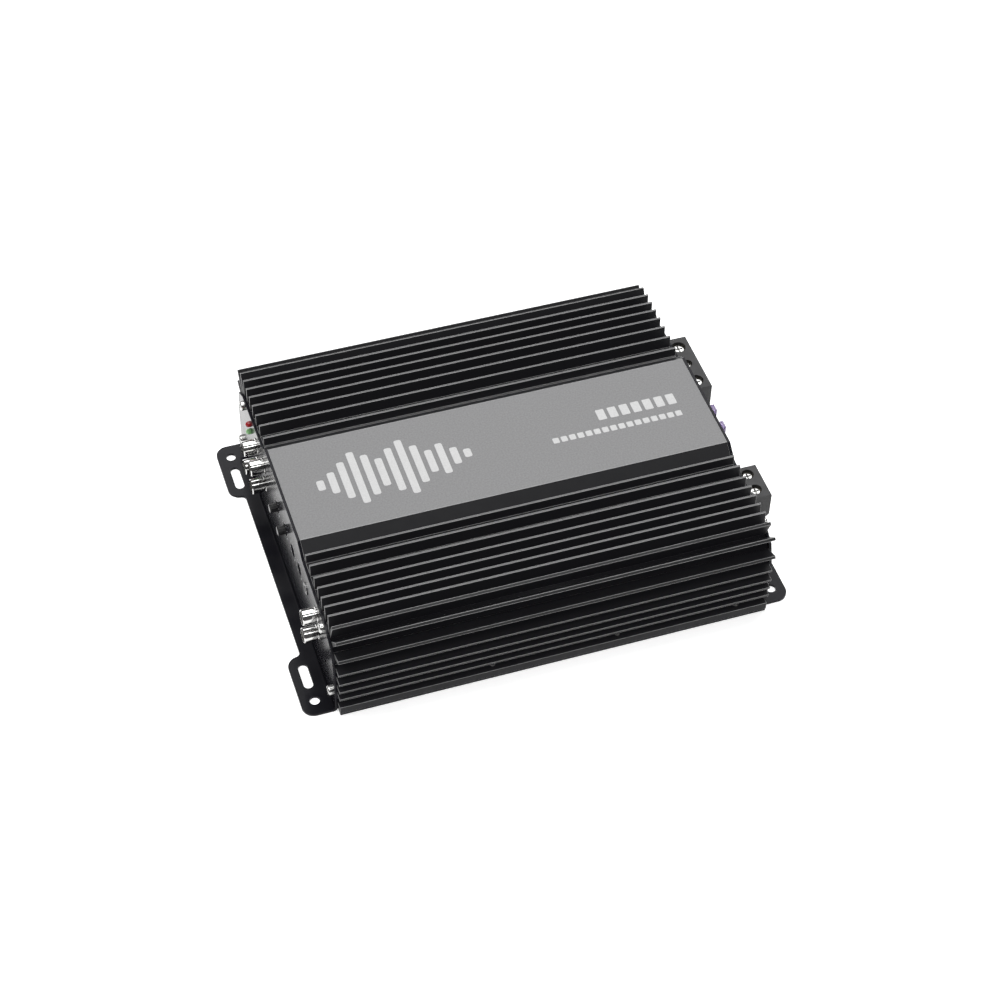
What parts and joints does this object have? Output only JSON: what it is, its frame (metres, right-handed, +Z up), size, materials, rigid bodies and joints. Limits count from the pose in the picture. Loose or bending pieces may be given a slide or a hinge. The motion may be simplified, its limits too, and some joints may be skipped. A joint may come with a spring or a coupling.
{
  "type": "car amplifier",
  "caption": "Mono car amplifier with a finned extruded aluminium case, sheet end panels with slotted mounting ears, phono inputs, level controls, screw terminals and blade fuses.",
  "frame": {"origin": "centre of the amplifier's underside", "axes": "+X along the extrusion from the input panel to the terminal panel, +Z up, -Y the front long side"},
  "size_m": [0.2668, 0.207, 0.061],
  "materials": {
    "black_extrusion": "fine-grained satin black coat, with a grey printed strip on top",
    "black_sheet": "semi-gloss black enamel on steel sheet",
    "zinc_screw": "bright zinc plate",
    "board_laminate": "green solder mask",
    "black_plastic": "moulded, slight texture",
    "terminal_plastic": "moulded dark grey, slight texture",
    "nickel": "bright nickel plate",
    "white_plastic": "moulded",
    "red_lens": "tinted clear",
    "green_lens": "tinted clear",
    "plated_brass": "nickel-plated brass",
    "fuse_plastic": "translucent violet",
    "tinned_metal": "tinned",
    "ferrite": "coated ferrite",
    "enamelled_copper": "enamelled copper wire",
    "capacitor_sleeve": "shrunk sleeve over an aluminium can",
    "film_case": "moulded box",
    "epoxy": "moulded epoxy",
    "thermal_pad": "soft grey pad",
    "spring_steel": "plain"
  },
  "bodies": {
    "case": {"heatsink_extrusion": "black_extrusion", "input_end_panel": "black_sheet", "terminal_end_panel": "black_sheet", "bottom_cover": "black_sheet", "bottom_cover_screws": "zinc_screw", "end_panel_screws": "zinc_screw", "board_screws": "zinc_screw", "clamp_screws": "zinc_screw", "main_circuit_board": "board_laminate", "control_board": "board_laminate", "driver_board": "board_laminate", "board_headers": "black_plastic", "rca_quad_housing": "black_plastic", "rca_pair_housing": "black_plastic", "potentiometer_bodies": "black_plastic", "trimmer_bodies": "black_plastic", "remote_jack_body": "black_plastic", "led_holder": "black_plastic", "fuse_holder": "black_plastic", "power_terminal_housing": "terminal_plastic", "speaker_terminal_housing": "terminal_plastic", "rca_shells": "nickel", "rca_centre_contacts": "nickel", "remote_jack_bushing": "nickel", "rca_insulators": "white_plastic", "protect_led": "red_lens", "power_led": "green_lens", "power_terminal_clamps": "plated_brass", "speaker_terminal_clamps": "plated_brass", "fuse_contacts": "plated_brass", "device_tabs_and_legs": "tinned_metal", "transformer_core": "ferrite", "output_inductor_core": "ferrite", "transformer_winding": "enamelled_copper", "output_inductor_winding": "enamelled_copper", "input_capacitors": "capacitor_sleeve", "rail_capacitors": "capacitor_sleeve", "signal_capacitors": "capacitor_sleeve", "output_film_capacitors": "film_case", "preamp_circuits": "epoxy", "driver_circuits": "epoxy", "supply_mosfets": "epoxy", "output_mosfets": "epoxy", "rectifiers": "epoxy", "insulator_pads": "thermal_pad", "clamp_bars": "spring_steel"},
    "level_knob": {"level_knob": "black_plastic"},
    "lowpass_knob": {"lowpass_knob": "black_plastic"},
    "bass_trimmer": {"bass_trimmer_rotor": "white_plastic"},
    "subsonic_trimmer": {"subsonic_trimmer_rotor": "white_plastic"},
    "fuse_a": {"fuse_a_body": "fuse_plastic", "fuse_a_blades": "tinned_metal"},
    "fuse_b": {"fuse_b_body": "fuse_plastic", "fuse_b_blades": "tinned_metal"},
    "battery_screw": {"battery_screw": "zinc_screw"},
    "remote_screw": {"remote_screw": "zinc_screw"},
    "ground_screw": {"ground_screw": "zinc_screw"},
    "speaker_plus_screw": {"speaker_plus_screw": "zinc_screw"},
    "speaker_minus_screw": {"speaker_minus_screw": "zinc_screw"}
  },
  "joints": [
    {"name": "level_knob_turn", "type": "hinge", "parent": "case", "child": "level_knob", "pos_m": [-0.118, 0.0115, 0.039], "axis": [-1, 0, 0], "range_deg": [-140, 140]},
    {"name": "lowpass_knob_turn", "type": "hinge", "parent": "case", "child": "lowpass_knob", "pos_m": [-0.118, -0.005, 0.039], "axis": [-1, 0, 0], "range_deg": [-140, 140]},
    {"name": "bass_trimmer_turn", "type": "hinge", "parent": "case", "child": "bass_trimmer", "pos_m": [-0.113, -0.0204, 0.039], "axis": [-1, 0, 0], "range_deg": [-130, 130]},
    {"name": "subsonic_trimmer_turn", "type": "hinge", "parent": "case", "child": "subsonic_trimmer", "pos_m": [-0.113, -0.0336, 0.039], "axis": [-1, 0, 0], "range_deg": [-130, 130]},
    {"name": "fuse_a_pull", "type": "slide", "parent": "case", "child": "fuse_a", "axis": [1, 0, 0], "range_m": [0, 0.016]},
    {"name": "fuse_b_pull", "type": "slide", "parent": "case", "child": "fuse_b", "axis": [1, 0, 0], "range_m": [0, 0.016]},
    {"name": "battery_screw_travel", "type": "slide", "parent": "case", "child": "battery_screw", "axis": [0, 0, 1], "range_m": [-0.0025, 0]},
    {"name": "remote_screw_travel", "type": "slide", "parent": "case", "child": "remote_screw", "axis": [0, 0, 1], "range_m": [-0.0025, 0]},
    {"name": "ground_screw_travel", "type": "slide", "parent": "case", "child": "ground_screw", "axis": [0, 0, 1], "range_m": [-0.0025, 0]},
    {"name": "speaker_plus_screw_travel", "type": "slide", "parent": "case", "child": "speaker_plus_screw", "axis": [0, 0, 1], "range_m": [-0.0025, 0]},
    {"name": "speaker_minus_screw_travel", "type": "slide", "parent": "case", "child": "speaker_minus_screw", "axis": [0, 0, 1], "range_m": [-0.0025, 0]}
  ]
}
